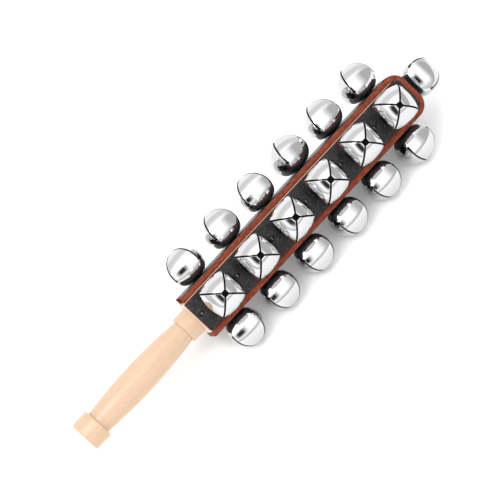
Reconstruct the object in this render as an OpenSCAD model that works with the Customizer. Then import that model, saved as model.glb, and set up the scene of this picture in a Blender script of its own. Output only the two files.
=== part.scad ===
// Bell rattle: a turned wooden handle carries a square block dressed in leather,
// with a row of jingle bells screwed to each of its four sides and one to its tip.
// A loose steel pellet rolls inside every bell. Lengths are in millimetres.
// The stick lies on the bells of its right and back rows. The x axis runs along
// the stick from the end of the pommel to the tip, and z points up.

/* [Handle] */
// Length of the pommel at the end of the handle
pommel_len = 14.4; // [12:0.1:18]
// Radius of the pommel
pommel_r = 12.3; // [11.8:0.1:14]
// Rounding of the end edge of the pommel
pommel_end_edge = 1.8; // [0.5:0.1:3]
// Rounding of the shoulder of the pommel
pommel_shoulder_edge = 1.2; // [0.5:0.1:3]
// Radius of the grip where it meets the pommel
grip_low_r = 9.3; // [8:0.1:10.5]
// Radius of the grip at its thickest
grip_belly_r = 11.7; // [11:0.1:12.5]
// Radius of the grip where it meets the collar
grip_neck_r = 8.8; // [8:0.1:10.5]
// Length of the grip from the pommel to its thickest point
grip_low_len = 43.4; // [35:0.1:50]
// Length of the grip from its thickest point to the collar
grip_neck_len = 44; // [35:0.1:50]
// Length of the collar against the block
collar_len = 11.4; // [8:0.1:14]
// Radius of the collar
collar_r = 10.9; // [10.2:0.1:12]
// Rounding of the collar's edge on the grip side
collar_edge = 0.9; // [0.5:0.1:2]
// Radius of the spigot glued into the block
spigot_r = 6; // [5:0.1:7]
// Length of the spigot
spigot_len = 15; // [10:0.1:18]
// Radial clearance for glue round the spigot
spigot_fit = 0.05; // [0.05:0.01:0.15]

/* [Block] */
// Side of the square wooden block
block_w = 27.4; // [26:0.1:30]
// Length of the block
block_len = 222.5; // [215:0.5:230]
// Rounding of the two corners that the strap bends round at the tip
block_tip_r = 6.4; // [5:0.1:8]
// Free depth left beyond the end of a spigot in its bore
bore_spare = 0.5; // [0.3:0.1:1]

/* [Leather] */
// Thickness of the strap round the sides and the tip
strap_t = 4.6; // [4:0.1:5.5]
// Width of the strap from front to back
strap_w = 28.4; // [27.5:0.1:30]
// Distance from the handle end of the block to the left end of the strap
strap_left_start = 1.9; // [0.5:0.1:4]
// Thickness of the front and back panels
panel_t = 4.4; // [4:0.1:5]
// Width of a panel
panel_w = 25.8; // [22:0.1:26]
// Bare wood left beyond each end of a panel
panel_margin = 0.5; // [0.3:0.1:2]
// Rounding of a panel's corners at the tip
panel_tip_r = 4; // [2:0.1:6]
// Rounding of a panel's corners at the handle
panel_foot_r = 1; // [0.5:0.1:3]

/* [Bells] */
// Bells in each of the four rows
stations = 6; // [1:1:6]
// Distance from the block's handle end to the centre of the first bell
first_station = 23; // [20:0.5:26]
// Distance between the centres of neighbouring bells
pitch = 36; // [34:0.5:37]
// Distance by which the right row sits nearer to the handle
right_lag = 2.2; // [0:0.1:3]
// Width of a bell across two opposite petals
bell_w = 28.2; // [27:0.1:30]
// Height of a bell from its seat to the rim of the square hole
bell_h = 26; // [25:0.1:27]
// Radius of a petal's bend from the belly up to the crown
petal_r = 14.5; // [14.1:0.1:15]
// Radius of its flatter bend from slit to slit, at the belly
petal_side_r = 29.5; // [29.5:0.5:32]
// Radius of the rounded cup below the petals, seen in section
cup_r = 10; // [9.5:0.1:10.5]
// Radius of the flat disc that the cup is rounded from
cup_flat_r = 6.6; // [6.6:0.1:7.2]
// Thickness of the sheet steel
bell_wall = 0.8; // [0.6:0.1:1]
// Side of the square hole between the tips of the petals
crown_hole = 4.7; // [4.5:0.1:6]
// Width of the slits between the petals
slit_w = 1; // [0.8:0.1:1.4]
// Radius of the round hole that ends each slit
slit_end_r = 1; // [0.8:0.1:1.2]
// Height of that hole above the seat
slit_end_h = 9.6; // [9:0.1:11]

/* [Pellets] */
// Radius of the loose steel pellet in a bell
pellet_r = 4; // [3:0.1:4.2]
// Gap kept between a pellet and the wall that it rests on
pellet_gap = 0.3; // [0.25:0.01:0.4]

/* [Screws] */
// Radius of a bell screw's shank
screw_r = 1.2; // [1:0.05:1.5]
// Radius of its domed head, which passes the square hole
screw_head_r = 2.2; // [1.8:0.05:2.2]
// Height of the dome
screw_head_h = 1.5; // [1.2:0.1:1.8]
// Depth that a screw reaches into the block
screw_bite = 9; // [7:0.1:9.5]
// Width of the slot in the head
slot_w = 0.6; // [0.4:0.05:0.8]
// Depth of the slot
slot_d = 0.7; // [0.4:0.05:0.9]
// Radial clearance between a screw or nail and its hole
fastener_fit = 0.05; // [0.05:0.01:0.1]

/* [Nails] */
// Radius of the panel nails' shanks
nail_r = 0.7; // [0.5:0.05:0.9]
// Radius of a nail's head
nail_head_r = 1.5; // [1.2:0.05:1.8]
// Height of the head
nail_head_h = 0.7; // [0.5:0.05:0.9]
// Length of a nail's point
nail_point = 1.5; // [1:0.1:2]
// Depth that a nail reaches into the block
nail_bite = 6; // [4:0.1:6.5]
// Radius of the dimple that the nail pulls into the leather
dimple_r = 2.3; // [2:0.1:2.8]
// Depth of the dimple
dimple_d = 0.9; // [0.6:0.05:1.2]

/* [Hidden] */
$fn = 72;
// Facets of a full circle as large as the grip's long arcs
long_arc_fn = 720;

// Bells that find a straight seat on the block, up to the number asked for
row_seats = block_len - block_tip_r - cup_flat_r - first_station;
row_count = min(stations, 1 + floor(row_seats / pitch));

ROWS = ["front", "left", "back", "right"];

// The stick is rolled so that it lies steady on two rows of bells.
roll = 45;
// Cuts run past a face by this much, so that no skin is left.
overrun = 0.5;

// Where things lie along the stick
grip_belly_x = pommel_len + grip_low_len;
collar_x = grip_belly_x + grip_neck_len;
block_x = collar_x + collar_len;
tip_x = block_x + block_len;

// Distances from the stick's axis to the seats of the bells
panel_seat = block_w / 2 + panel_t;
strap_seat = block_w / 2 + strap_t;

// Each petal is part of a ring whose axis stands beyond the bell's own. The
// ring is widest at the belly and passes the rim of the square hole.
petal_shift = petal_side_r - bell_w / 2;
petal_ring_r = petal_side_r - petal_r;
belly_h = bell_h - sqrt(petal_r ^ 2 - (crown_hole / 2 + petal_shift - petal_ring_r) ^ 2);

// How far each bell is turned about its own axis, in degrees, from the handle
// to the tip, for the front, left, back and right rows
SPINS = [
    [0, 2, 6, 0, -4, -6],
    [-12, 10, 1, 20, 10, 14],
    [0, 3, -4, 2, 5, -3],
    [7, 0, -2, -5, -2, -13]
];

function bell_name(row, i) = str("bell_", row, "_", i);
function pellet_name(row, i) = str("pellet_", row, "_", i);
function row_index(row) = search([row], ROWS)[0];
function row_angle(row) = [0, -90, 180, 90][row_index(row)];
function row_seat(row) = row == "left" || row == "right" ? strap_seat : panel_seat;
function row_lag(row) = row == "right" ? right_lag : 0;
function spin(row, i) = row == "tip" ? 0 : SPINS[row_index(row)][i - 1];
function station(row, i) = block_x + first_station + (i - 1) * pitch - row_lag(row);

// Nails sit half way between the bells, and one before the first.
function nail_x(i) = block_x + first_station + (i - 1.5) * pitch;

// A vector turned about the x, y or z axis
function turn_x(v, a) = [v.x, v.y * cos(a) - v.z * sin(a), v.y * sin(a) + v.z * cos(a)];
function turn_y(v, a) = [v.x * cos(a) + v.z * sin(a), v.y, v.z * cos(a) - v.x * sin(a)];
function turn_z(v, a) = [v.x * cos(a) - v.y * sin(a), v.x * sin(a) + v.y * cos(a), v.z];

// The way down, as a bell sees it in its own frame
function down(row, i) =
    let (on_stick = turn_x([0, 0, -1], -roll))
    let (on_seat = row == "tip" ? turn_y(on_stick, -90) : turn_x(on_stick, -row_angle(row)))
    turn_z(on_seat, -spin(row, i));

// Room between a pellet and a wall that is rounded off a disc with a radius of
// flat_r. The pellet is out from the disc's axis, and up from the middle of the
// rounding.
function round_room(out, up, flat_r, r) =
    r - bell_wall - pellet_r - (out < flat_r ? abs(up) : norm([out - flat_r, up]));

// Room between a pellet centred at p and the nearest wall of its bell
function petal_room(p) = min([for (a = [0:90:270])
    let (q = p - turn_z([-petal_shift, 0, belly_h], a))
    round_room(norm([q.x, q.y]), q.z, petal_ring_r, petal_r)]);
function cup_room(p) = round_room(norm([p.x, p.y]), min(p.z - cup_r, 0), cup_flat_r, cup_r);
function room(p) = min(petal_room(p), cup_room(p));

// How far a pellet gets from p along d before only the gap is left
function reach(p, d, near = 0, far = bell_w, steps = 30) =
    steps == 0 ? near
    : let (mid = (near + far) / 2)
      room(p + mid * d) > pellet_gap ? reach(p, d, mid, far, steps - 1)
      : reach(p, d, near, mid, steps - 1);

// A pellet's upright track crosses the bell's axis here, so that its lower end
// is the lowest place in the bell.
function track_h(row) =
    row == "front" || row == "left" ? cup_r + cup_flat_r
    : row == "tip" ? (belly_h + cup_r) / 2
    : belly_h;
function track_point(row) = [0, 0, track_h(row)];
function drop(row, i) = reach(track_point(row), down(row, i));
function rise(row, i) = reach(track_point(row), -down(row, i));
function pellet_rest(row, i) = track_point(row) + drop(row, i) * down(row, i);

echo(tip_travel = drop("tip", 1) + rise("tip", 1));
for (row = ROWS) {
    echo(row = row, travel = [for (i = [1:row_count]) drop(row, i) + rise(row, i)]);
}

// Puts what is drawn upright at the origin onto a seat of the stick.
module on_row(row, x) {
    rotate([roll, 0, 0]) rotate([row_angle(row), 0, 0]) translate([x, 0, row_seat(row)]) children();
}

module on_tip() {
    rotate([roll, 0, 0]) translate([tip_x + strap_t, 0, 0]) rotate([0, 90, 0]) children();
}

// A quarter of a disc in the first quadrant
module quarter(r) {
    intersection() {
        circle(r);
        square(r);
    }
}

// A rectangle from the origin, with two corners rounded on its far side in x
module turned_land(r, len, low_edge, high_edge) {
    square([r - low_edge, low_edge]);
    translate([r - low_edge, low_edge]) mirror([0, 1]) quarter(low_edge);
    translate([0, low_edge]) square([r, len - low_edge - high_edge]);
    translate([0, len - high_edge]) {
        square([r - high_edge, high_edge]);
        translate([r - high_edge, 0]) quarter(high_edge);
    }
}

// Half of the grip: an arc that falls from the belly's radius to the end's
module grip_half(end_r, len) {
    fall = grip_belly_r - end_r;
    arc_r = (len ^ 2 + fall ^ 2) / (2 * fall);
    intersection() {
        translate([grip_belly_r - arc_r, 0]) circle(arc_r, $fn = long_arc_fn);
        square([grip_belly_r, len]);
    }
}

module handle_outline() {
    turned_land(pommel_r, pommel_len, pommel_end_edge, pommel_shoulder_edge);
    translate([0, grip_belly_x]) mirror([0, 1]) grip_half(grip_low_r, grip_low_len);
    translate([0, grip_belly_x]) grip_half(grip_neck_r, grip_neck_len);
    translate([0, collar_x]) {
        square([collar_r - collar_edge, collar_len]);
        translate([collar_r - collar_edge, collar_edge]) {
            square([collar_edge, collar_len - collar_edge]);
            mirror([0, 1]) quarter(collar_edge);
        }
    }
    translate([0, block_x]) square([spigot_r, spigot_len]);
}

module handle() {
    color("burlywood") rotate([0, 90, 0]) rotate_extrude() handle_outline();
}

// A rectangle along x from the origin, centred in y, with its far corners rounded
module tongue(len, w, far_r) {
    translate([0, -w / 2]) square([len - far_r, w]);
    translate([len - far_r, far_r - w / 2]) square([far_r, w - 2 * far_r]);
    for (side = [0, 1]) mirror([0, side]) translate([len - far_r, w / 2 - far_r]) quarter(far_r);
}

// Holes for the screws of every row and the tip
module screw_holes() {
    for (row = ROWS, i = [1:row_count]) on_row(row, station(row, i)) screw_hole();
    on_tip() screw_hole();
}

module screw_hole() {
    translate([0, 0, -strap_t - screw_bite]) {
        cylinder(r = screw_r + fastener_fit, h = strap_t + screw_bite + bell_wall + overrun);
    }
}

module nail_holes(row) {
    for (i = [1:row_count]) {
        on_row(row, nail_x(i)) translate([0, 0, -panel_t - nail_bite]) {
            cylinder(r = nail_r + fastener_fit, h = panel_t + nail_bite);
        }
    }
}

module block() {
    color("wheat") difference() {
        rotate([roll, 0, 0]) translate([block_x, 0, -block_w / 2]) linear_extrude(block_w) {
            tongue(block_len, block_w, block_tip_r);
        }
        translate([block_x - overrun, 0, 0]) rotate([0, 90, 0]) {
            cylinder(r = spigot_r + spigot_fit, h = spigot_len + bore_spare + overrun);
        }
        screw_holes();
        nail_holes("front");
        nail_holes("back");
    }
}

module side_strap() {
    color("saddlebrown") difference() {
        rotate([roll, 0, 0]) translate([block_x, 0, -strap_w / 2]) linear_extrude(strap_w) {
            difference() {
                tongue(block_len + strap_t, block_w + 2 * strap_t, block_tip_r + strap_t);
                translate([-overrun, 0]) tongue(block_len + overrun, block_w, block_tip_r);
                translate([-overrun, 0]) square([overrun + strap_left_start, strap_seat + overrun]);
            }
        }
        screw_holes();
    }
}

module panel(row) {
    seat_r = nail_head_r + fastener_fit;
    flare = (dimple_r - seat_r) / dimple_d;
    difference() {
        on_row(row, block_x + panel_margin) translate([0, 0, -panel_t]) linear_extrude(panel_t) {
            half = (block_len - 2 * panel_margin) / 2;
            translate([half, 0]) tongue(half, panel_w, panel_tip_r);
            translate([half, 0]) mirror([1, 0]) tongue(half, panel_w, panel_foot_r);
        }
        for (i = [1:row_count]) {
            on_row(row, station(row, i)) screw_hole();
            on_row(row, nail_x(i)) translate([0, 0, -dimple_d]) {
                cylinder(r1 = seat_r, r2 = dimple_r + flare * overrun, h = dimple_d + overrun);
            }
        }
        nail_holes(row);
    }
}

module front_panel() {
    color("dimgray") panel("front");
}

module back_panel() {
    color("dimgray") panel("back");
}

// A nail drawn with the surface of the leather at z = 0
module nail() {
    head_ball = (nail_head_r ^ 2 + nail_head_h ^ 2) / (2 * nail_head_h);
    translate([0, 0, -dimple_d]) intersection() {
        translate([0, 0, nail_head_h - head_ball]) sphere(head_ball);
        cylinder(r = nail_head_r + overrun, h = nail_head_h + overrun);
    }
    translate([0, 0, nail_point - panel_t - nail_bite]) {
        cylinder(r = nail_r, h = panel_t + nail_bite - nail_point - dimple_d);
        mirror([0, 0, 1]) cylinder(r1 = nail_r, r2 = 0, h = nail_point);
    }
}

module panel_nails() {
    color("silver") for (row = ["front", "back"], i = [1:row_count]) on_row(row, nail_x(i)) nail();
}

// A screw drawn with the seat of its bell at z = 0: its head lies on the
// bell's floor, and its shank passes the leather into the block.
module screw(leather_t) {
    head_ball = (screw_head_r ^ 2 + screw_head_h ^ 2) / (2 * screw_head_h);
    translate([0, 0, bell_wall]) difference() {
        intersection() {
            translate([0, 0, screw_head_h - head_ball]) sphere(head_ball);
            cylinder(r = screw_head_r + overrun, h = screw_head_h + overrun);
        }
        translate([-screw_head_r, -slot_w / 2, screw_head_h - slot_d]) {
            cube([2 * screw_head_r, slot_w, slot_d + overrun]);
        }
    }
    translate([0, 0, -leather_t - screw_bite]) {
        cylinder(r = screw_r, h = leather_t + screw_bite + bell_wall);
    }
}

module panel_screws() {
    color("gray") for (row = ["front", "back"], i = [1:row_count]) {
        on_row(row, station(row, i)) screw(panel_t);
    }
}

module strap_screws() {
    color("gray") {
        for (row = ["left", "right"], i = [1:row_count]) {
            on_row(row, station(row, i)) screw(strap_t);
        }
        on_tip() screw(strap_t);
    }
}

// Four rings cut the petals, and leave a crease between each pair. The half
// turn keeps a ring's seam away from its petal.
module petals(r) {
    intersection_for (a = [0:90:270]) {
        rotate([0, 0, a]) translate([-petal_shift, 0, belly_h]) rotate([0, 0, 180]) {
            rotate_extrude() for (side = [0, 1]) mirror([0, side]) {
                square([petal_ring_r, r]);
                translate([petal_ring_r, 0]) quarter(r);
            }
        }
    }
}

// The cup rounds the foot of the bell down to its flat seat.
module cup(r) {
    rotate_extrude() {
        translate([0, cup_r - r]) square([cup_flat_r, r]);
        translate([cup_flat_r, cup_r]) mirror([0, 1]) quarter(r);
        translate([0, cup_r]) square([cup_flat_r + r, bell_h]);
    }
}

module bell_body(inset) {
    intersection() {
        petals(petal_r - inset);
        cup(cup_r - inset);
    }
}

// One slit runs right across the crown, so two of them part the four petals.
module slit() {
    translate([-bell_w, -slit_w / 2, slit_end_h]) cube([2 * bell_w, slit_w, bell_h]);
    translate([-bell_w, 0, slit_end_h]) rotate([0, 90, 0]) cylinder(r = slit_end_r, h = 2 * bell_w);
}

module bell() {
    difference() {
        bell_body(0);
        bell_body(bell_wall);
        for (a = [45, 135]) rotate([0, 0, a]) slit();
        translate([-crown_hole / 2, -crown_hole / 2, belly_h]) {
            cube([crown_hole, crown_hole, bell_h]);
        }
        screw_hole();
    }
}

module row_bell(row, i) {
    color("lightsteelblue") on_row(row, station(row, i)) rotate([0, 0, spin(row, i)]) bell();
}

module row_pellet(row, i) {
    color("slategray") on_row(row, station(row, i)) rotate([0, 0, spin(row, i)]) {
        translate(pellet_rest(row, i)) sphere(pellet_r);
    }
}

module bell_tip() {
    color("lightsteelblue") on_tip() bell();
}

module pellet_tip() {
    color("slategray") on_tip() translate(pellet_rest("tip", 1)) sphere(pellet_r);
}

handle();
block();
side_strap();
front_panel();
back_panel();
panel_nails();
panel_screws();
strap_screws();
bell_tip();
pellet_tip();
for (row = ROWS, i = [1:row_count]) {
    row_bell(row, i);
    row_pellet(row, i);
}
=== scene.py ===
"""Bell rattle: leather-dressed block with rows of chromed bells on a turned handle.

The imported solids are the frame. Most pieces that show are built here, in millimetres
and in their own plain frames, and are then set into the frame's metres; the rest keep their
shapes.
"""

import logging
import math
from collections.abc import Callable, Iterable
from dataclasses import dataclass, field
from enum import Enum

import bmesh
import bpy
from bmesh.types import BMEdge, BMesh, BMFace, BMVert
from bpy.types import Material, Node, NodeSocket, Object, ShaderNodeTree
from mathutils import Matrix, Vector

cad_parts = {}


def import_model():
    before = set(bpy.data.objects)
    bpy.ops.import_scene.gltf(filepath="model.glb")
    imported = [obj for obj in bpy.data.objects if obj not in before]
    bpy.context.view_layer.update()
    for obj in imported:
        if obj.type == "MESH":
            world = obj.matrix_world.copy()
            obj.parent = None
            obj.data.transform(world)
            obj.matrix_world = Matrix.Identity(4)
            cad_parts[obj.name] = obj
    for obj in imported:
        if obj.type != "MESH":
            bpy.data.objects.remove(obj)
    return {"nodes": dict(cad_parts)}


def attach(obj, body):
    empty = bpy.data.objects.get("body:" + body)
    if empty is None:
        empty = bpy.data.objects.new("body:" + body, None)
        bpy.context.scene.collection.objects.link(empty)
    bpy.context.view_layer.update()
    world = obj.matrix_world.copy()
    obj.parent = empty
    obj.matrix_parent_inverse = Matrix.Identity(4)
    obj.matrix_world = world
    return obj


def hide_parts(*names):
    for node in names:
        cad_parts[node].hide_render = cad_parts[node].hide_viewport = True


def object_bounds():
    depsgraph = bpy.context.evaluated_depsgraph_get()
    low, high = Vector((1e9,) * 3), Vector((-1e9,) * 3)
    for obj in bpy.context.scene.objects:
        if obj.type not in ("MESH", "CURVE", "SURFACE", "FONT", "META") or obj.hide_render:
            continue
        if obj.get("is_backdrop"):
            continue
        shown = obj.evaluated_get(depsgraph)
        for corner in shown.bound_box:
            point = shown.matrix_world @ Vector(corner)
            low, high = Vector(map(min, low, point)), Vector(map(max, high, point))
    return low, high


log = logging.getLogger("bell_rattle")

MM = 0.001
ROLL = math.radians(45)
STICK = "stick"
CUT = "cut"
# An edge that bends by more than this is a corner.
CORNER = math.radians(60)
# Points of a turned shape that lie nearer than this are one, in millimetres.
SAME = 1e-4
# A point that lies nearer to a cutting plane than this is on it, in millimetres.
ON_PLANE = 1e-5
Triple = tuple[float, float, float]
Colour = Triple
Outline = list[tuple[float, float]]


class Row(Enum):
    """A dressed side of the block: its name, its turn about the stick and its bells' spins."""

    FRONT = ("front", 0, (0, 2, 6, 0, -4, -6))
    LEFT = ("left", -90, (-12, 10, 1, 20, 10, 14))
    BACK = ("back", 180, (0, 3, -4, 2, 5, -3))
    RIGHT = ("right", 90, (7, 0, -2, -5, -2, -13))

    @property
    def label(self) -> str:
        """The row's name, as the frame's nodes spell it."""
        return self.value[0]

    @property
    def angle(self) -> float:
        """The row's turn about the stick, in radians."""
        return math.radians(self.value[1])

    @property
    def spins(self) -> tuple[int, ...]:
        """How far each bell is turned on its screw, in degrees, from the handle on."""
        return self.value[2]

    @property
    def strapped(self) -> bool:
        """True where the bells sit on the side strap and not on a panel."""
        return self in (Row.LEFT, Row.RIGHT)


PANELLED = tuple(row for row in Row if not row.strapped)


@dataclass(frozen=True)
class Stick:
    """Places and thicknesses that the pieces share, in millimetres."""

    pommel_len: float = 14.4
    grip_low_len: float = 43.4
    grip_neck_len: float = 44.0
    collar_len: float = 11.4
    block_w: float = 27.4
    block_len: float = 222.5
    block_tip_r: float = 6.4
    strap_t: float = 4.6
    panel_t: float = 4.4
    dimple_d: float = 0.9
    first_station: float = 23.0
    pitch: float = 36.0
    right_lag: float = 2.2
    stations: int = 6

    @property
    def belly_x(self) -> float:
        """The thickest point of the grip."""
        return self.pommel_len + self.grip_low_len

    @property
    def collar_x(self) -> float:
        """The start of the collar."""
        return self.belly_x + self.grip_neck_len

    @property
    def block_x(self) -> float:
        """The handle end of the block."""
        return self.collar_x + self.collar_len

    @property
    def tip_x(self) -> float:
        """The far end of the block."""
        return self.block_x + self.block_len

    def station(self, row: Row, number: int) -> float:
        """The middle of a row's bell along the stick, where bell 1 is next to the handle."""
        lag = self.right_lag if row is Row.RIGHT else 0.0
        return self.block_x + self.first_station + (number - 1) * self.pitch - lag

    @property
    def nails(self) -> list[float]:
        """The places of a panel's nails, each half a pitch before a bell."""
        first = self.block_x + self.first_station
        return [first + (number - 1.5) * self.pitch for number in range(1, self.stations + 1)]

    def seat(self, row: Row, x: float, spin: float = 0.0) -> Matrix:
        """Finds the frame of a seat on one side of the stick.

        Args:
            row: The side.
            x: The distance from the pommel's end.
            spin: A turn about the seat's own axis, in degrees.

        Returns:
            The matrix from the seat's frame to the stick's, in millimetres.
        """
        leather = self.strap_t if row.strapped else self.panel_t
        turn = Matrix.Rotation(ROLL + row.angle, 4, "X")
        lift = Matrix.Translation((x, 0, self.block_w / 2 + leather))
        return turn @ lift @ Matrix.Rotation(math.radians(spin), 4, "Z")

    def tip_seat(self) -> Matrix:
        """The frame of the seat on the tip, in millimetres."""
        lift = Matrix.Translation((self.tip_x + self.strap_t, 0, 0))
        return Matrix.Rotation(ROLL, 4, "X") @ lift @ Matrix.Rotation(math.pi / 2, 4, "Y")


class Graph:
    """Builds a tree of shader nodes, link by link."""

    def __init__(self, tree: ShaderNodeTree) -> None:
        """Takes over an emptied tree."""
        tree.nodes.clear()
        self.tree = tree

    def node(self, kind: str, settings: dict | None = None, **inputs: object) -> Node:
        """Adds a node.

        Args:
            kind: The node's type.
            settings: Properties to set on the node.
            inputs: Inputs by name, with underscores for spaces, or by place, as in _0. A
                socket is linked and a plain value is set.

        Returns:
            The new node.
        """
        made = self.tree.nodes.new(kind)
        for name, value in (settings or {}).items():
            setattr(made, name, value)
        for name, value in inputs.items():
            key = int(name[1:]) if name[0] == "_" else name.replace("_", " ")
            self.feed(made, key, value)
        return made

    def feed(self, node: Node, key: int | str, value: object) -> None:
        """Links or sets one input.

        Args:
            node: The node that takes the value.
            key: The input's place or name.
            value: A socket to link or a plain value.
        """
        if isinstance(value, NodeSocket):
            self.tree.links.new(value, node.inputs[key])
        else:
            node.inputs[key].default_value = value

    def math(self, operation: str, first: object, second: object = 0.0) -> NodeSocket:
        """Joins two terms by the operation of that name in Blender and gives the result."""
        made = self.node("ShaderNodeMath", {"operation": operation}, _0=first, _1=second)
        return made.outputs[0]

    def ramp(
        self, value: object, low: float, high: float, to_low: float = 0.0, to_high: float = 1.0
    ) -> NodeSocket:
        """Maps a range of values smoothly onto another.

        Args:
            value: The socket that is read.
            low: The value that gives to_low.
            high: The value that gives to_high.
            to_low: The result at and below low.
            to_high: The result at and above high.

        Returns:
            The result's socket.
        """
        settings = {"interpolation_type": "SMOOTHSTEP"}
        ends = {"_1": low, "_2": high, "_3": to_low, "_4": to_high}
        return self.node("ShaderNodeMapRange", settings, _0=value, **ends).outputs[0]

    def mix(self, factor: object, first: object, second: object) -> NodeSocket:
        """Mixes two colours.

        Args:
            factor: How much of the second shows.
            first: A colour or its socket.
            second: A colour or its socket.

        Returns:
            The result's socket.
        """
        made = self.node("ShaderNodeMix", {"data_type": "RGBA"})
        for key, value in ((0, factor), (6, first), (7, second)):
            self.feed(made, key, (*value, 1.0) if isinstance(value, tuple) else value)
        return made.outputs[2]

    def place(self, scale: float | Triple) -> NodeSocket:
        """Scales the object's own coordinates.

        Args:
            scale: One scale for all axes, or one for each.

        Returns:
            The scaled vector's socket.
        """
        seen = self.node("ShaderNodeTexCoord").outputs["Object"]
        sizes = scale if isinstance(scale, tuple) else (scale,) * 3
        return self.node("ShaderNodeMapping", None, Vector=seen, Scale=sizes).outputs[0]

    def noise(
        self, scale: float | Triple, detail: float = 3.0, rough: float = 0.5, warp: float = 0.0
    ) -> NodeSocket:
        """Adds a noise on the object's own coordinates.

        Args:
            scale: One scale for all axes, or one for each.
            detail: How many finer layers it has.
            rough: How strong the finer layers are.
            warp: How far it is distorted.

        Returns:
            The noise's value.
        """
        inputs = {"Scale": 1.0, "Detail": detail, "Roughness": rough, "Distortion": warp}
        made = self.node("ShaderNodeTexNoise", None, Vector=self.place(scale), **inputs)
        return made.outputs[0]

    def bump(
        self, height: object, strength: float, distance: float, base: object = None
    ) -> NodeSocket:
        """Turns a height into a normal.

        Args:
            height: The height's socket.
            strength: How much it shows.
            distance: Its depth in metres.
            base: A normal to add to.

        Returns:
            The normal's socket.
        """
        depth = {"Strength": strength, "Distance": distance}
        made = self.node("ShaderNodeBump", None, Height=height, **depth)
        if base is not None:
            self.feed(made, "Normal", base)
        return made.outputs[0]

    def surface(self, **inputs: object) -> None:
        """Ends the tree in one shader, whose inputs are linked or set."""
        shader = self.node("ShaderNodeBsdfPrincipled", None, **inputs)
        self.node("ShaderNodeOutputMaterial", None, Surface=shader.outputs[0])


def new_material(name: str, look: Colour) -> tuple[Material, Graph]:
    """Makes an empty material.

    Args:
        name: Its name.
        look: Its colour in a plain viewport.

    Returns:
        The material and its tree.
    """
    material = bpy.data.materials.new(name)
    material.use_nodes = True
    material.diffuse_color = (*look, 1.0)
    return material, Graph(material.node_tree)


@dataclass(frozen=True)
class TurnedWood:
    """Pale close-grained wood with fine pores, lightly lacquered."""

    name: str = "pale_beech"
    light: Colour = (0.635, 0.45, 0.315)
    dark: Colour = (0.57, 0.38, 0.235)
    pore: Colour = (0.42, 0.29, 0.18)
    roughest: float = 0.50
    smoothest: float = 0.37
    drift_scale: Triple = (9.0, 60.0, 60.0)
    streak_scale: Triple = (14.0, 420.0, 420.0)
    pore_scale: Triple = (300.0, 1700.0, 1700.0)
    pore_share: float = 0.45
    depth: float = 0.00012

    def make(self) -> Material:
        """Builds the material.

        Returns:
            The material.
        """
        material, g = new_material(self.name, self.light)
        drift = g.noise(self.drift_scale, 3.0, 0.5, 0.4)
        streak = g.noise(self.streak_scale, 4.0, 0.6)
        grain = g.math("ADD", g.math("MULTIPLY", drift, 0.65), g.math("MULTIPLY", streak, 0.45))
        colour = g.mix(g.ramp(grain, 0.36, 0.72), self.light, self.dark)
        pores = g.ramp(g.noise(self.pore_scale, 2.0), 0.58, 0.7)
        colour = g.mix(g.math("MULTIPLY", pores, self.pore_share), colour, self.pore)
        raised = g.math("MULTIPLY", streak, 0.5)
        height = g.math("SUBTRACT", raised, g.math("MULTIPLY", pores, 0.6))
        g.surface(
            Base_Color=colour,
            Roughness=g.ramp(streak, 0.3, 0.7, self.smoothest, self.roughest),
            Normal=g.bump(height, 0.25, self.depth),
            Coat_Weight=0.1,
            Coat_Roughness=0.3,
            Specular_IOR_Level=0.9,
        )
        return material


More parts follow.
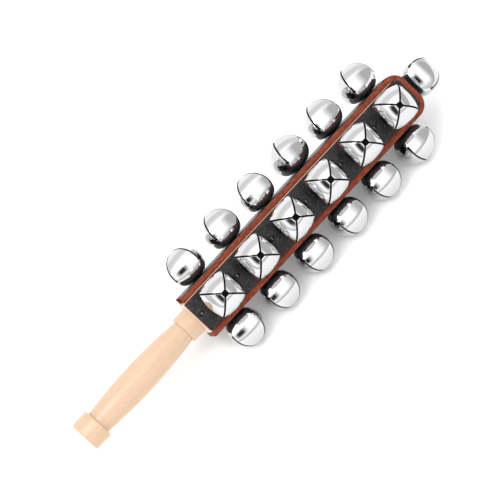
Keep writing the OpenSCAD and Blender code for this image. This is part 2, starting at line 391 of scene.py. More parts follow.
@dataclass(frozen=True)
class BlackLeather:
    """Thick leather: a black grain face and rust-brown cut edges.

    The mesh attribute CUT is 1 on the edges and 0 on the face.
    """

    name: str = "black_leather"
    face: Colour = (0.004, 0.005, 0.006)
    worn: Colour = (0.020, 0.020, 0.021)
    scuff: Colour = (0.085, 0.082, 0.080)
    edge: Colour = (0.31, 0.070, 0.034)
    edge_dark: Colour = (0.12, 0.024, 0.012)
    cloud_scale: float = 110.0
    pebble_scale: float = 1100.0
    fine_scale: float = 2600.0
    rub_scale: float = 620.0
    fibre_scale: Triple = (240.0, 1100.0, 1100.0)
    tone_scale: float = 45.0
    coat: float = 0.25
    depth: float = 0.00012

    def make(self) -> Material:
        """Builds the material.

        Returns:
            The material.
        """
        material, g = new_material(self.name, self.face)
        cloud = g.noise(self.cloud_scale, 4.0, 0.6)
        fine = g.noise(self.fine_scale, 2.0)
        fibre = g.noise(self.fibre_scale, 4.0, 0.7)
        cut = g.node("ShaderNodeAttribute", {"attribute_name": CUT}).outputs["Fac"]
        wander = g.math("ADD", cut, g.math("MULTIPLY", g.math("SUBTRACT", fine, 0.5), 0.3))
        amount = g.ramp(wander, 0.62, 0.88)
        arris = g.math("MULTIPLY", g.ramp(cut, 0.8, 1.0, 0.6, 0.0), amount)
        edge = g.mix(arris, self.cut_edge(g, fibre), self.face)
        dry = g.math("MULTIPLY", amount, 0.22)
        g.surface(
            Base_Color=g.mix(amount, self.grain_face(g, cloud), edge),
            Roughness=g.math("ADD", g.ramp(cloud, 0.3, 0.7, 0.38, 0.5), dry),
            Normal=g.bump(self.relief(g, fine, fibre, amount), 0.5, self.depth),
            Specular_IOR_Level=0.15,
            Coat_Weight=g.math("SUBTRACT", self.coat, g.math("MULTIPLY", amount, self.coat)),
            Coat_Roughness=0.3,
        )
        return material

    def grain_face(self, g: Graph, cloud: NodeSocket) -> NodeSocket:
        """Colours the black face, with worn clouds and small scuffs.

        Args:
            g: The material's tree.
            cloud: The noise of the worn clouds.

        Returns:
            The colour's socket.
        """
        face = g.mix(g.ramp(cloud, 0.35, 0.7), self.face, self.worn)
        rub = g.ramp(g.noise(self.rub_scale, 2.0), 0.56, 0.7)
        return g.mix(g.math("MULTIPLY", rub, 0.55), face, self.scuff)

    def cut_edge(self, g: Graph, fibre: NodeSocket) -> NodeSocket:
        """Colours the cut edge, with dark fibres and darker stretches.

        Args:
            g: The material's tree.
            fibre: The noise of the fibres.

        Returns:
            The colour's socket.
        """
        edge = g.mix(g.ramp(fibre, 0.4, 0.66), self.edge, self.edge_dark)
        tone = g.noise(self.tone_scale, 2.0)
        return g.mix(g.ramp(tone, 0.45, 0.8, 0.0, 0.4), edge, self.edge_dark)

    def relief(
        self, g: Graph, fine: NodeSocket, fibre: NodeSocket, amount: NodeSocket
    ) -> NodeSocket:
        """Adds up the pebbled grain of the face and the fibres of the edge.

        Args:
            g: The material's tree.
            fine: The finest noise.
            fibre: The noise of the fibres.
            amount: How much of the cut edge shows.

        Returns:
            The height's socket.
        """
        settings = {"feature": "DISTANCE_TO_EDGE"}
        where = g.place(self.pebble_scale)
        pebble = g.node("ShaderNodeTexVoronoi", settings, Vector=where, Scale=1.0)
        crease = g.ramp(pebble.outputs["Distance"], 0.0, 0.22)
        grain = g.math("ADD", g.math("MULTIPLY", crease, 0.7), g.math("MULTIPLY", fine, 0.5))
        frayed = g.math("MULTIPLY", g.math("MULTIPLY", fibre, amount), 0.8)
        return g.math("ADD", grain, frayed)


@dataclass(frozen=True)
class Plating:
    """Bright metal: bell chrome, or the duller steel of pellets and fasteners."""

    name: str
    tint: Colour
    rough: float
    haze: float
    ripple: float
    scratch: float
    cloud_scale: float = 70.0
    wave_scale: float = 150.0
    hair_scale: Triple = (3000.0, 500.0, 900.0)
    dulled: float = 0.9
    wave_depth: float = 0.0004
    hair_depth: float = 0.00002

    def make(self) -> Material:
        """Builds the material.

        Returns:
            The material.
        """
        material, g = new_material(self.name, self.tint)
        cloud = g.noise(self.cloud_scale)
        wave = g.noise(self.wave_scale, 1.0)
        hair = g.noise(self.hair_scale, 2.0)
        dull = tuple(self.dulled * part for part in self.tint)
        colour = g.mix(g.ramp(cloud, 0.35, 0.75, 0.0, 0.35), self.tint, dull)
        rough = g.ramp(cloud, 0.3, 0.8, self.rough, self.rough + self.haze)
        rough = g.math("ADD", rough, g.math("MULTIPLY", hair, self.scratch))
        waves = g.bump(wave, self.ripple, self.wave_depth)
        normal = g.bump(hair, self.scratch, self.hair_depth, waves)
        g.surface(Base_Color=colour, Metallic=1.0, Roughness=rough, Normal=normal)
        return material


class Metal(Enum):
    """The metals of the stick, and a dark finish that paints the shade inside its bells."""

    CHROME = Plating("bell_chrome", (0.62, 0.62, 0.63), 0.03, 0.04, 0.05, 0.01)
    # Inner walls and slit rims of the bells: dark, rough metal that paints the shade inside them.
    HOLLOW_PAINTED_SHADE = Plating("bell_inside_painted_shade", (0.07, 0.07, 0.075), 0.45, 0.1, 0.05, 0.1)
    # Dark steel: the nails' own blackened heads; on the pellets it also paints the shade inside
    # the bells.
    DARK_STEEL = Plating("nail_steel", (0.10, 0.10, 0.11), 0.22, 0.1, 0.1, 0.1)
    STEEL = Plating("plain_steel", (0.62, 0.62, 0.64), 0.28, 0.12, 0.1, 0.2)


@dataclass(frozen=True)
class FloorPaint:
    """The plain pale floor of the studio, a table lit a little from below."""

    name: str = "studio_floor"
    pale: Colour = (0.93, 0.93, 0.93)
    dull: Colour = (0.9, 0.9, 0.9)
    glow: float = 0.12
    mottle_scale: float = 3.0
    mottle_share: float = 0.02

    def make(self) -> Material:
        """Builds the material.

        Returns:
            The material.
        """
        material, g = new_material(self.name, self.pale)
        mottle = g.math("MULTIPLY", g.noise(self.mottle_scale, 2.0), self.mottle_share)
        colour = g.mix(mottle, self.pale, self.dull)
        g.surface(
            Base_Color=colour,
            Roughness=0.9,
            Specular_IOR_Level=0.1,
            Emission_Color=(1.0, 1.0, 1.0, 1.0),
            Emission_Strength=self.glow,
        )
        return material


def to_object(bm: BMesh, name: str, places: Iterable[Matrix], degrees: float = 40.0) -> Object:
    """Turns a bmesh into an object that shows it once for each place.

    Args:
        bm: The shape, in millimetres. It is freed.
        name: The object's name.
        places: Matrices from the shape's frame to the stick's, in millimetres.
        degrees: Edges that bend by more than this stay sharp.

    Returns:
        The object at the origin, with its place in its mesh.
    """
    joined = bmesh.new()
    part = bpy.data.meshes.new(name + "_part")
    for place in places:
        copy = bm.copy()
        copy.transform(Matrix.Scale(MM, 4) @ place)
        copy.to_mesh(part)
        joined.from_mesh(part)
        copy.free()
    mesh = bpy.data.meshes.new(name)
    joined.to_mesh(mesh)
    joined.free()
    bm.free()
    bpy.data.meshes.remove(part)
    for polygon in mesh.polygons:
        polygon.use_smooth = True
    mesh.set_sharp_from_angle(angle=math.radians(degrees))
    made = bpy.data.objects.new(name, mesh)
    bpy.context.scene.collection.objects.link(made)
    return made


def dress(piece: Object, material: Material, slot: str, *nodes: str) -> Object:
    """Gives a piece its finish and hands it to the frame.

    Args:
        piece: The finished piece.
        material: What it is made of.
        slot: The name of a material slot; not used.
        nodes: The solids that it stands for.

    Returns:
        The piece.
    """
    piece.data.materials.append(material)
    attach(piece, STICK)
    if nodes:
        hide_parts(*nodes)
    log.info("%s: %d faces", piece.name, len(piece.data.polygons))
    return piece


def extrude(bm: BMesh, faces: list[BMFace], step: Vector) -> list[BMFace]:
    """Grows sides from the border of some faces.

    Args:
        bm: The shape.
        faces: The faces, which stay where they are.
        step: The way and the distance.

    Returns:
        The faces at the far end of the new sides.
    """
    grown = bmesh.ops.extrude_face_region(bm, geom=faces)["geom"]
    verts = [item for item in grown if isinstance(item, BMVert)]
    bmesh.ops.translate(bm, verts=verts, vec=step)
    return [item for item in grown if isinstance(item, BMFace)]


def round_edges(
    bm: BMesh, test: Callable[[BMEdge], bool], offset: float, segments: int
) -> None:
    """Rounds the edges that pass a test.

    Args:
        bm: The shape.
        test: Says whether an edge is wanted.
        offset: How far the rounding reaches.
        segments: Its number of faces.
    """
    bmesh.ops.bevel(
        bm,
        geom=[edge for edge in bm.edges if test(edge)],
        offset=offset,
        offset_type="OFFSET",
        segments=segments,
        profile=0.5,
        affect="EDGES",
        clamp_overlap=True,
        material=-1,
    )


def spun(profile: Outline, steps: int) -> BMesh:
    """Spins a profile about the z axis.

    Args:
        profile: Points as radius and height, from one end to the other.
        steps: The number of faces round the axis.

    Returns:
        The turned shape, closed where the profile meets the axis.
    """
    bm = bmesh.new()
    verts = [bm.verts.new((radius, 0, height)) for radius, height in profile]
    edges = [bm.edges.new(pair) for pair in zip(verts, verts[1:])]
    bmesh.ops.spin(
        bm,
        geom=verts + edges,
        cent=(0, 0, 0),
        axis=(0, 0, 1),
        angle=2 * math.pi,
        steps=steps,
        use_merge=True,
    )
    bmesh.ops.remove_doubles(bm, verts=bm.verts, dist=SAME)
    bmesh.ops.recalc_face_normals(bm, faces=bm.faces)
    return bm


def arc(
    centre: tuple[float, float], radius: float, start: float, end: float, steps: int
) -> Outline:
    """Lists the points of an arc between two angles in degrees, both ends among them."""
    angles = [math.radians(start + (end - start) * i / steps) for i in range(steps + 1)]
    return [(centre[0] + radius * math.cos(a), centre[1] + radius * math.sin(a)) for a in angles]


@dataclass
class Handle:
    """The turned handle: pommel, swelling grip, collar and hidden spigot."""

    stick: Stick
    pommel_r: float = 12.3
    pommel_end_edge: float = 1.8
    pommel_end_loop: float = 3.0
    pommel_shoulder_edge: float = 1.2
    grip_low_r: float = 9.3
    grip_belly_r: float = 11.7
    grip_neck_r: float = 8.8
    low_corner: float = 0.35
    neck_corner: float = 0.3
    collar_r: float = 10.9
    collar_edge: float = 0.9
    spigot_r: float = 6.0
    spigot_len: float = 15.0
    steps: int = 144
    end_steps: int = 8
    edge_steps: int = 6
    grip_steps: int = 24

    def swell(self, end_r: float, length: float, along: float) -> float:
        """Finds the grip's radius on the arc that falls from its belly.

        Args:
            end_r: The radius at the end of the arc.
            length: The arc's length along the stick.
            along: The distance from the belly.

        Returns:
            The radius there.
        """
        fall = self.grip_belly_r - end_r
        arc_r = (length**2 + fall**2) / (2 * fall)
        return self.grip_belly_r - arc_r + math.sqrt(arc_r**2 - along**2)

    def profile(self) -> Outline:
        """Lists the outline.

        Returns:
            Points as radius and distance along the stick, from end to end.
        """
        s = self.stick
        end, shoulder, edge = self.pommel_end_edge, self.pommel_shoulder_edge, self.collar_edge
        points = [(0.0, 0.0), (self.pommel_r - end - self.pommel_end_loop, 0.0)]
        points += arc((self.pommel_r - end, end), end, -90, 0, self.end_steps)
        centre = (self.pommel_r - shoulder, s.pommel_len - shoulder)
        points += arc(centre, shoulder, 0, 90, self.edge_steps)
        points.append((self.grip_low_r + self.low_corner, s.pommel_len))
        count = self.grip_steps
        low = [s.grip_low_len * (1 - i / count) for i in range(count)]
        points += [(self.swell(self.grip_low_r, s.grip_low_len, a), s.belly_x - a) for a in low]
        neck = [s.grip_neck_len * i / count for i in range(count + 1)]
        points += [(self.swell(self.grip_neck_r, s.grip_neck_len, a), s.belly_x + a) for a in neck]
        points.append((self.grip_neck_r + self.neck_corner, s.collar_x))
        points += arc((self.collar_r - edge, s.collar_x + edge), edge, -90, 0, self.edge_steps)
        points += [(self.collar_r, s.block_x), (self.spigot_r, s.block_x)]
        spigot_end = s.block_x + self.spigot_len
        points += [(self.spigot_r, spigot_end), (0.0, spigot_end)]
        return points

    def build(self, wood: Material) -> Object:
        """Turns the handle.

        Args:
            wood: What it is made of.

        Returns:
            The piece.
        """
        bm = spun(self.profile(), self.steps)
        along = Matrix.Rotation(math.pi / 2, 4, "Y")
        piece = to_object(bm, "turned_handle", [along])
        return dress(piece, wood, "wood", "handle")


@dataclass
class SideStrap:
    """The thick strip up one side, round the tip and down the other."""

    stick: Stick
    width: float = 28.4
    left_start: float = 1.9
    edge_r: float = 0.7
    end_band: float = 0.05
    side_steps: int = 24
    bend_steps: int = 14
    tip_steps: int = 3
    edge_steps: int = 4

    def build(self, leather: Material) -> Object:
        """Bends the strip round the block.

        Args:
            leather: What it is made of.

        Returns:
            The piece.
        """
        s = self.stick
        inner, outer = s.block_w / 2, s.block_w / 2 + s.strap_t
        half = self.width / 2
        bm = bmesh.new()
        corners = [(inner, -half), (inner, half), (outer, half), (outer, -half)]
        ring = [bm.verts.new((s.block_x + self.left_start, y, z)) for y, z in corners]
        moving = [bm.faces.new(ring)]
        straight = s.block_len - s.block_tip_r
        across = s.block_w - 2 * s.block_tip_r
        up = Vector((straight - self.left_start, 0, 0))
        moving = self.run(bm, moving, up, self.side_steps)
        moving = self.bend(bm, moving, (s.block_x + straight, inner - s.block_tip_r, 0))
        moving = self.run(bm, moving, Vector((0, -across, 0)), self.tip_steps)
        moving = self.bend(bm, moving, (s.block_x + straight, s.block_tip_r - inner, 0))
        self.run(bm, moving, Vector((-straight, 0, 0)), self.side_steps)
        bmesh.ops.recalc_face_normals(bm, faces=bm.faces)
        round_edges(bm, self.is_corner, self.edge_r, self.edge_steps)
        cut = bm.verts.layers.float.new(CUT)
        for vert in bm.verts:
            side = max(0.0, 1 - (half - abs(vert.co.z)) / self.edge_r)
            end = s.block_x + (self.left_start if vert.co.y > 0 else 0.0)
            vert[cut] = 1.0 if vert.co.x < end + self.end_band else side
        piece = to_object(bm, "leather_side_strap", [Matrix.Rotation(ROLL, 4, "X")])
        return dress(piece, leather, "leather", "side_strap")

    def run(self, bm: BMesh, moving: list[BMFace], step: Vector, pieces: int) -> list[BMFace]:
        """Carries the end of the strip straight on.

        Args:
            bm: The strip.
            moving: The face at its end.
            step: The way and the distance.
            pieces: How many lengths it is made in.

        Returns:
            The new end face.
        """
        for _ in range(pieces):
            end = extrude(bm, moving, step / pieces)
            bmesh.ops.delete(bm, geom=moving, context="FACES_ONLY")
            moving = end
        return moving

    def bend(self, bm: BMesh, moving: list[BMFace], centre: Triple) -> list[BMFace]:
        """Bends the end of the strip by a right angle.

        Args:
            bm: The strip.
            moving: The face at its end.
            centre: A point on the axis of the bend.

        Returns:
            The new end face.
        """
        turned = bmesh.ops.spin(
            bm,
            geom=moving,
            cent=centre,
            axis=(0, 0, -1),
            angle=math.pi / 2,
            steps=self.bend_steps,
            use_merge=False,
        )["geom_last"]
        return [item for item in turned if isinstance(item, BMFace)]

    def is_corner(self, edge: BMEdge) -> bool:
        """True for an edge between two sides of the strip."""
        return len(edge.link_faces) == 2 and edge.calc_face_angle(0.0) > CORNER


@dataclass
class Panel:
    """A flat leather panel with a dimple round each nail."""

    stick: Stick
    row: Row
    width: float = 26.6
    margin: float = 0.5
    tip_r: float = 4.0
    foot_r: float = 1.0
    edge_r: float = 0.6
    dimple_r: float = 2.3
    seat_r: float = 1.5
    top_band: float = 0.01
    cell: float = 0.4
    edge_steps: int = 4

    @property
    def length(self) -> float:
        """The panel's length along the stick."""
        return self.stick.block_len - 2 * self.margin

    def outline(self, side: float) -> tuple[float, float]:
        """Finds how far the panel reaches at a distance from its middle line.

        Args:
            side: That distance.

        Returns:
            The lowest and highest place along the stick.
        """
        ends = []
        for radius in (self.foot_r, self.tip_r):
            over = max(0.0, abs(side) - (self.width / 2 - radius))
            ends.append(radius - math.sqrt(max(0.0, radius**2 - over**2)))
        start = self.stick.block_x + self.margin
        return start + ends[0], start + self.length - ends[1]

    def build(self, leather: Material) -> Object:
        """Cuts the panel and presses its dimples.

        Args:
            leather: What it is made of.

        Returns:
            The piece.
        """
        along = round(self.length / self.cell)
        aside = round(self.width / self.cell / 2) * 2
        bm = bmesh.new()
        bmesh.ops.create_grid(bm, x_segments=along, y_segments=aside, size=0.5)
        for vert in bm.verts:
            side = vert.co.y * self.width
            low, high = self.outline(side)
            vert.co = Vector((low + (vert.co.x + 0.5) * (high - low), side, 0))
        extrude(bm, list(bm.faces), Vector((0, 0, -self.stick.panel_t)))
        bmesh.ops.recalc_face_normals(bm, faces=bm.faces)
        round_edges(bm, self.is_rim, self.edge_r, self.edge_steps)
        self.press(bm)
        cut = bm.verts.layers.float.new(CUT)
        for vert in bm.verts:
            low, high = self.outline(vert.co.y)
            rim = min(vert.co.x - low, high - vert.co.x, self.width / 2 - abs(vert.co.y))
            side = vert.co.z <= -self.stick.dimple_d
            vert[cut] = 1.0 if side else max(0.0, 1 - rim / self.edge_r)
        node = f"{self.row.label}_panel"
        piece = to_object(bm, f"leather_{node}", [self.stick.seat(self.row, 0)])
        return dress(piece, leather, "leather", node)

    def is_rim(self, edge: BMEdge) -> bool:
        """True for an edge round the top of the panel."""
        raised = all(vert.co.z > -self.top_band for vert in edge.verts)
        return raised and edge.calc_face_angle(0.0) > CORNER

    def press(self, bm: BMesh) -> None:
        """Presses the dimples into the top.

        Args:
            bm: The panel, with its top at height 0.
        """
        for vert in bm.verts:
            if vert.co.z < -self.top_band:
                continue
            near = min(math.hypot(vert.co.x - x, vert.co.y) for x in self.stick.nails)
            rise = max(0.0, near - self.seat_r) / (self.dimple_r - self.seat_r)
            if rise < 1:
                vert.co.z -= self.stick.dimple_d * (1 - rise**2 * (3 - 2 * rise))


@dataclass
class Nails:
    """The domed nails that hold the panels."""

    stick: Stick
    shank_r: float = 0.7
    head_r: float = 1.5
    head_h: float = 0.7
    undercut: float = 0.12
    point: float = 1.5
    bite: float = 6.0
    steps: int = 24
    dome_steps: int = 7

    def build(self, steel: Material) -> Object:
        """Turns one nail and sets it at every place.

        Args:
            steel: What it is made of.

        Returns:
            The piece.
        """
        ball = (self.head_r**2 + self.head_h**2) / (2 * self.head_h)
        spread = math.degrees(math.asin(self.head_r / ball))
        low = -self.stick.dimple_d
        dome = arc((0, low + self.head_h - ball), ball, 90, 90 - spread, self.dome_steps)
        end = -self.stick.panel_t - self.bite
        profile = [(max(0.0, r), z) for r, z in dome]
        profile[0] = (0.0, low + self.head_h)
        profile += [(self.head_r - self.undercut, low), (self.shank_r, low)]
        profile += [(self.shank_r, end + self.point), (0.0, end)]
        places = [self.stick.seat(row, x) for row in PANELLED for x in self.stick.nails]
        piece = to_object(spun(profile, self.steps), "panel_nail_set", places)
        return dress(piece, steel, "steel", "panel_nails")


@dataclass
class Bell:
    """A jingle bell: a round cup whose four petals close over a square hole.

    Each reach says how far from a hole or slit the faces are that its planes cut.
    crown_spare is how far the uncut skin reaches into the square hole, in degrees.
    """

    width: float = 28.2
    height: float = 26.0
    petal_r: float = 14.5
    petal_side_r: float = 29.5
    cup_r: float = 10.0
    cup_flat_r: float = 6.6
    wall: float = 0.6
    crown_hole: float = 4.7
    slit_w: float = 1.3
    slit_end_r: float = 1.1
    slit_end_h: float = 9.6
    slit_end_sides: int = 16
    screw_hole_r: float = 1.3
    crease: float = 0.35
    foot_crease: float = 3.0
    rim: float = 0.14
    rim_angle: float = 55.0
    rim_steps: int = 2
    sharp_angle: float = 50.0
    rows: int = 60
    steps: int = 96
    halvings: int = 26
    crown_spare: float = 0.6
    hole_reach: float = 1.2
    slit_reach: float = 2.0
    slit_overlap: float = 0.4
    crown_reach: float = 4.0
    merge: float = 0.02
    sliver: float = 0.01
    petal_shift: float = field(init=False)
    belly_h: float = field(init=False)

    def __post_init__(self) -> None:
        """Works out where the petals' rings stand."""
        self.petal_shift = self.petal_side_r - self.width / 2
        rim = self.crown_hole / 2 + self.petal_r - self.width / 2
        self.belly_h = self.height - math.sqrt(self.petal_r**2 - rim**2)

    @property
    def hole_angles(self) -> list[float]:
        """The ways that the flat sides of a slit's end hole face."""
        count = self.slit_end_sides
        return [2 * math.pi * (i + 0.5) / count for i in range(count)]

    def depth(self, point: Vector) -> float:
        """Finds how far a point lies inside the bell.

        Args:
            point: The point, in the bell's frame.

        Returns:
            The distance to the outside, rounded off where petals and cup meet.
        """
        shift, ring = self.petal_shift, self.petal_side_r - self.petal_r
        depths = []
        for x, y in ((shift, 0), (0, shift), (-shift, 0), (0, -shift)):
            out = max(0.0, math.hypot(point.x + x, point.y + y) - ring)
            depths.append(self.petal_r - math.hypot(out, point.z - self.belly_h))
        out = max(0.0, math.hypot(point.x, point.y) - self.cup_flat_r)
        depths.append(self.cup_r - math.hypot(out, min(0.0, point.z - self.cup_r)))
        depths.sort()
        low = max(0.0, 1 - point.z / self.slit_end_h)
        soft = self.crease + self.foot_crease * low
        near = depths[0]
        for other in depths[1:3]:
            blend = max(0.0, soft - (other - near)) / soft
            near -= blend**2 * soft / 4
        return near

    def reach(self, way: Vector) -> float:
        """Finds how far the outside lies from the middle of the cup.

        Args:
            way: A unit vector.

        Returns:
            The distance.
        """
        middle = Vector((0, 0, self.cup_r))
        near, far = 1.0, 2 * self.width
        for _ in range(self.halvings):
            half = (near + far) / 2
            if self.depth(middle + way * half) > 0:
                near = half
            else:
                far = half
        return near

    def shape(self) -> BMesh:
        """Presses one bell.

        Returns:
            The bell, with its seat at height 0 and its crown up.
        """
        low = math.degrees(math.atan2(-self.cup_r, self.screw_hole_r))
        high = math.degrees(math.atan2(self.height - self.cup_r, self.crown_hole / 2))
        bm = spun(arc((0, 0), 1.0, low, high + self.crown_spare, self.rows), self.steps)
        middle = Vector((0, 0, self.cup_r))
        for vert in bm.verts:
            way = vert.co.normalized()
            vert.co = middle + way * self.reach(way)
        self.cut_slits(bm)
        self.cut_crown(bm)
        bmesh.ops.remove_doubles(bm, verts=bm.verts, dist=self.merge)
        bmesh.ops.dissolve_degenerate(bm, edges=bm.edges, dist=self.sliver)
        bmesh.ops.recalc_face_normals(bm, faces=bm.faces)
        self.thicken(bm)
        return bm

    def cut(self, bm: BMesh, faces: list[BMFace], point: Vector, normal: Vector) -> None:
        """Cuts faces along a plane without parting them.

        Args:
            bm: The bell.
            faces: The faces that are cut.
            point: A point on the plane.
            normal: The plane's normal.
        """
        geom = set(faces)
        for face in faces:
            geom.update(face.verts)
            geom.update(face.edges)
        bmesh.ops.bisect_plane(
            bm, geom=list(geom), dist=ON_PLANE, plane_co=point, plane_no=normal
        )

    def cut_slits(self, bm: BMesh) -> None:
        """Cuts the two crossing slits and the round holes that end them.

        Args:
            bm: The bell's skin.
        """
        for degrees in (45, 135):
            turn = Matrix.Rotation(math.radians(degrees), 3, "Z")
            across = turn @ Vector((0, 1, 0))
            hole = Vector((0, 0, self.slit_end_h))
            reach = self.slit_end_r + self.hole_reach
            for angle in self.hole_angles:
                normal = across * math.cos(angle) + Vector((0, 0, 1)) * math.sin(angle)
                near = [f for f in bm.faces if self.offset(f, across, hole) < reach]
                self.cut(bm, near, hole + normal * self.slit_end_r, normal)
            for sign in (-1, 1):
                near = [f for f in bm.faces if self.by_slit(f, across)]
                self.cut(bm, near, across * sign * self.slit_w / 2, across * sign)
            gone = []
            for face in bm.faces:
                centre = face.calc_center_median()
                side = abs(centre.dot(across))
                round_end = self.in_hole(side, centre.z - self.slit_end_h)
                if round_end or (centre.z > self.slit_end_h and side < self.slit_w / 2):
                    gone.append(face)
            bmesh.ops.delete(bm, geom=gone, context="FACES")

    def in_hole(self, side: float, up: float) -> bool:
        """True for a point this far aside of and above the middle of a slit's end hole."""
        ways = self.hole_angles
        return all(side * math.cos(a) + up * math.sin(a) < self.slit_end_r for a in ways)

    def by_slit(self, face: BMFace, across: Vector) -> bool:
        """True for a face that the sides of a slit may cut."""
        at = face.calc_center_median()
        return at.z > self.slit_end_h - self.slit_overlap and abs(at.dot(across)) < self.slit_reach

    def offset(self, face: BMFace, across: Vector, hole: Vector) -> float:
        """Finds a face's distance from the axis of a slit's end hole."""
        centre = face.calc_center_median() - hole
        return math.hypot(centre.dot(across), centre.z)

    def cut_crown(self, bm: BMesh) -> None:
        """Cuts the square hole between the tips of the petals.

        Args:
            bm: The bell's skin.
        """
        half = self.crown_hole / 2
        for way in (Vector((1, 0, 0)), Vector((0, 1, 0))):
            for sign in (-1, 1):
                low = self.height - self.crown_reach
                high = [f for f in bm.faces if f.calc_center_median().z > low]
                self.cut(bm, high, way * sign * half, way * sign)
        gone = []
        for face in bm.faces:
            centre = face.calc_center_median()
            if centre.z > self.belly_h and max(abs(centre.x), abs(centre.y)) < half:
                gone.append(face)
        bmesh.ops.delete(bm, geom=gone, context="FACES")

    def thicken(self, bm: BMesh) -> None:
        """Gives the skin its wall and rounds the rims.

        Args:
            bm: The bell's skin, with its normals outwards.
        """
        skin = set(bm.faces)
        bmesh.ops.solidify(bm, geom=list(skin), thickness=self.wall)
        # The inner wall and the rims of the slits and hole take the second slot, a painted shade.
        for face in bm.faces:
            face.material_index = 0 if face in skin else 1
        bmesh.ops.recalc_face_normals(bm, faces=bm.faces)
        sharp = math.radians(self.rim_angle)
        round_edges(bm, lambda e: e.calc_face_angle(0.0) > sharp, self.rim, self.rim_steps)

    def build(
        self, name: str, place: Matrix, skin: BMesh, chrome: Material, inside: Material
    ) -> Object:
        """Sets one bell on its seat.

        Args:
            name: The solid that the bell stands for.
            place: The seat's frame.
            skin: The pressed bell.
            chrome: What it is plated with.
            inside: The dark finish of its inner wall and of the rims of its slits and hole, a
                painted shade.

        Returns:
            The piece.
        """
        piece = to_object(skin.copy(), f"chrome_{name}", [place], self.sharp_angle)
        dress(piece, chrome, "chrome", name)
        # The second slot paints the shade inside the bell and in its openings.
        piece.data.materials.append(inside)
        return piece


@dataclass
class Rows:
    """Every bell on the stick, each turned a little on its screw."""

    stick: Stick
    bell: Bell = field(default_factory=Bell)

    def build(self, chrome: Material, inside: Material) -> None:
        """Sets all the bells.

        Args:
            chrome: What they are plated with.
            inside: The dark finish of their inner walls and rims, a painted shade.
        """
        skin = self.bell.shape()
        for row in Row:
            for number, spin in enumerate(row.spins, start=1):
                place = self.stick.seat(row, self.stick.station(row, number), spin)
                self.bell.build(f"bell_{row.label}_{number}", place, skin, chrome, inside)
        self.bell.build("bell_tip", self.stick.tip_seat(), skin, chrome, inside)
        skin.free()


@dataclass(frozen=True)
class Card:
    """A soft-edged patch of the surroundings that the chrome reflects.

    Its middle and its half widths are angles from the way that the front row
    faces: along toward the tip, and aside toward the left row.
    """

    along: float
    aside: float
    half_along: float
    half_aside: float
    soft: float
    light: float


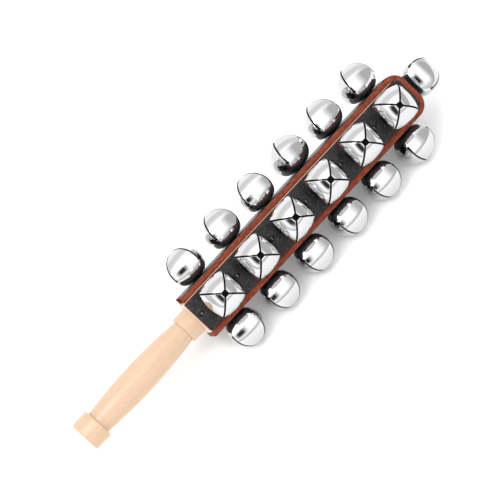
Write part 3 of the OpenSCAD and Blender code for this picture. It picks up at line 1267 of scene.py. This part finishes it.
@dataclass
class Studio:
    """Pale floor, soft surroundings, one light and the photograph's camera.

    Lengths are in millimetres, but for the camera's clip, which is in metres.
    """

    floor_z: float
    floor_half: float = 6000.0
    camera_at: Triple = (-8.7, -847.8, 991.6)
    aim_at: Triple = (176.0, 3.2, 3.2)
    tilt: float = 42.885424
    focal_px: float = 1858.2
    frame_px: float = 500.0
    sensor: float = 36.0
    clip: tuple[float, float] = (0.05, 50.0)
    key_at: Triple = (-220.0, -330.0, 1230.0)
    key_size: float = 500.0
    key_power: float = 5.0
    sky: float = 0.84
    cards: tuple[Card, ...] = (
        Card(0.0, 75.0, 70.0, 22.0, 20.0, 1.05),
        Card(-6.0, 15.0, 46.0, 34.0, 22.0, 1.75),
        Card(70.0, -6.0, 20.0, 36.0, 34.0, 0.70),
        Card(-29.0, -3.0, 6.0, 7.0, 21.0, 0.04),
        Card(0.0, 118.0, 60.0, 14.0, 10.0, 1.4),
    )

    def build(self) -> None:
        """Builds the whole studio."""
        self.place_camera()
        self.lay_floor()
        self.paint_surroundings()
        self.hang_key()

    def place_camera(self) -> None:
        """Sets the camera where the photograph was taken from."""
        data = bpy.data.cameras.new("photo_camera")
        data.sensor_width = self.sensor
        data.lens = self.focal_px / self.frame_px * self.sensor
        data.clip_start, data.clip_end = self.clip
        camera = bpy.data.objects.new("photo_camera", data)
        bpy.context.scene.collection.objects.link(camera)
        at, aim = Vector(self.camera_at), Vector(self.aim_at)
        forward = (aim - at).normalized()
        right = forward.cross(Vector((1, 0, 0))).normalized()
        up = right.cross(forward)
        turn = math.radians(self.tilt)
        photo_right = right * math.cos(turn) + up * math.sin(turn)
        photo_up = up * math.cos(turn) - right * math.sin(turn)
        axes = Matrix((photo_right, photo_up, -forward)).transposed()
        camera.matrix_world = Matrix.Translation(at * MM) @ axes.to_4x4()
        bpy.context.scene.camera = camera

    def lay_floor(self) -> None:
        """Lays the pale floor under the stick."""
        bm = bmesh.new()
        bmesh.ops.create_grid(bm, x_segments=2, y_segments=2, size=self.floor_half)
        place = Matrix.Translation((self.aim_at[0], 0, self.floor_z))
        floor = to_object(bm, "studio_floor", [place])
        floor.data.materials.append(FloorPaint().make())
        floor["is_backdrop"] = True

    def paint_surroundings(self) -> None:
        """Paints the world that lights the floor and shows in the chrome."""
        world = bpy.data.worlds.new("studio")
        world.use_nodes = True
        bpy.context.scene.world = world
        g = Graph(world.node_tree)
        seen = g.node("ShaderNodeTexCoord").outputs["Generated"]
        inputs = {"Vector": seen, "Rotation": (-ROLL, 0.0, 0.0)}
        turned = g.node("ShaderNodeMapping", {"vector_type": "NORMAL"}, **inputs)
        ways = g.node("ShaderNodeSeparateXYZ", None, Vector=turned.outputs[0]).outputs
        along = g.math("ARCSINE", ways[0])
        aside = g.math("ARCTAN2", ways[1], ways[2])
        light: object = self.sky
        for card in self.cards:
            share = g.math(
                "MULTIPLY",
                self.window(g, along, card.along, card.half_along, card.soft),
                self.window(g, aside, card.aside, card.half_aside, card.soft),
            )
            gap = g.math("MULTIPLY", share, g.math("SUBTRACT", card.light, light))
            light = g.math("ADD", light, gap)
        back = g.node("ShaderNodeBackground", None, Color=(1.0, 1.0, 1.0, 1.0), Strength=light)
        g.node("ShaderNodeOutputWorld", None, Surface=back.outputs[0])

    def window(
        self, g: Graph, angle: object, middle: float, wide: float, soft: float
    ) -> NodeSocket:
        """Gives 1 where the angle is within wide of middle and 0 past the soft edge."""
        away = g.math("ABSOLUTE", g.math("SUBTRACT", angle, math.radians(middle)))
        return g.ramp(away, math.radians(wide), math.radians(wide + soft), 1.0, 0.0)

    def hang_key(self) -> None:
        """Hangs the square soft light, which looks at the stick."""
        data = bpy.data.lights.new("key", "AREA")
        data.size = self.key_size * MM
        data.energy = self.key_power
        lamp = bpy.data.objects.new("key", data)
        bpy.context.scene.collection.objects.link(lamp)
        spot = Vector(self.key_at)
        look = (Vector(self.aim_at) - spot).to_track_quat("-Z", "Y")
        lamp.matrix_world = Matrix.Translation(spot * MM) @ look.to_matrix().to_4x4()


def dress_kept(nodes: dict[str, Object], finishes: dict[str, Material]) -> None:
    """Finishes the solids that stay as they are.

    Args:
        nodes: The frame's objects by name.
        finishes: The material for each group of nodes, by the start of the name.
    """
    for name, node in nodes.items():
        for start, material in finishes.items():
            if name.startswith(start):
                node.data.materials.clear()
                node.data.materials.append(material)
                log.info("%s: kept as it is", name)


def main() -> None:
    """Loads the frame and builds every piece."""
    logging.basicConfig(level=logging.INFO, format="%(name)s %(message)s")
    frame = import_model()
    solid_low, solid_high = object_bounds()
    bpy.context.scene.view_settings.view_transform = "Standard"

    stick = Stick()
    wood = TurnedWood().make()
    pale_wood = TurnedWood("block_wood", (0.84, 0.72, 0.60), (0.76, 0.62, 0.48)).make()
    leather = BlackLeather().make()
    chrome, inside_shade = Metal.CHROME.value.make(), Metal.HOLLOW_PAINTED_SHADE.value.make()
    dark_steel, steel = Metal.DARK_STEEL.value.make(), Metal.STEEL.value.make()

    Handle(stick).build(wood)
    SideStrap(stick).build(leather)
    for row in PANELLED:
        Panel(stick, row).build(leather)
    Nails(stick).build(dark_steel)
    Rows(stick).build(chrome, inside_shade)
    # The pellets take the dark steel: their own steel, darkened to paint the shade inside the
    # bells.
    kept = {"block": pale_wood, "panel_screws": steel, "strap_screws": steel, "pellet": dark_steel}
    dress_kept(frame["nodes"], kept)
    Studio(solid_low[2] / MM).build()


if __name__ == "__main__":
    main()
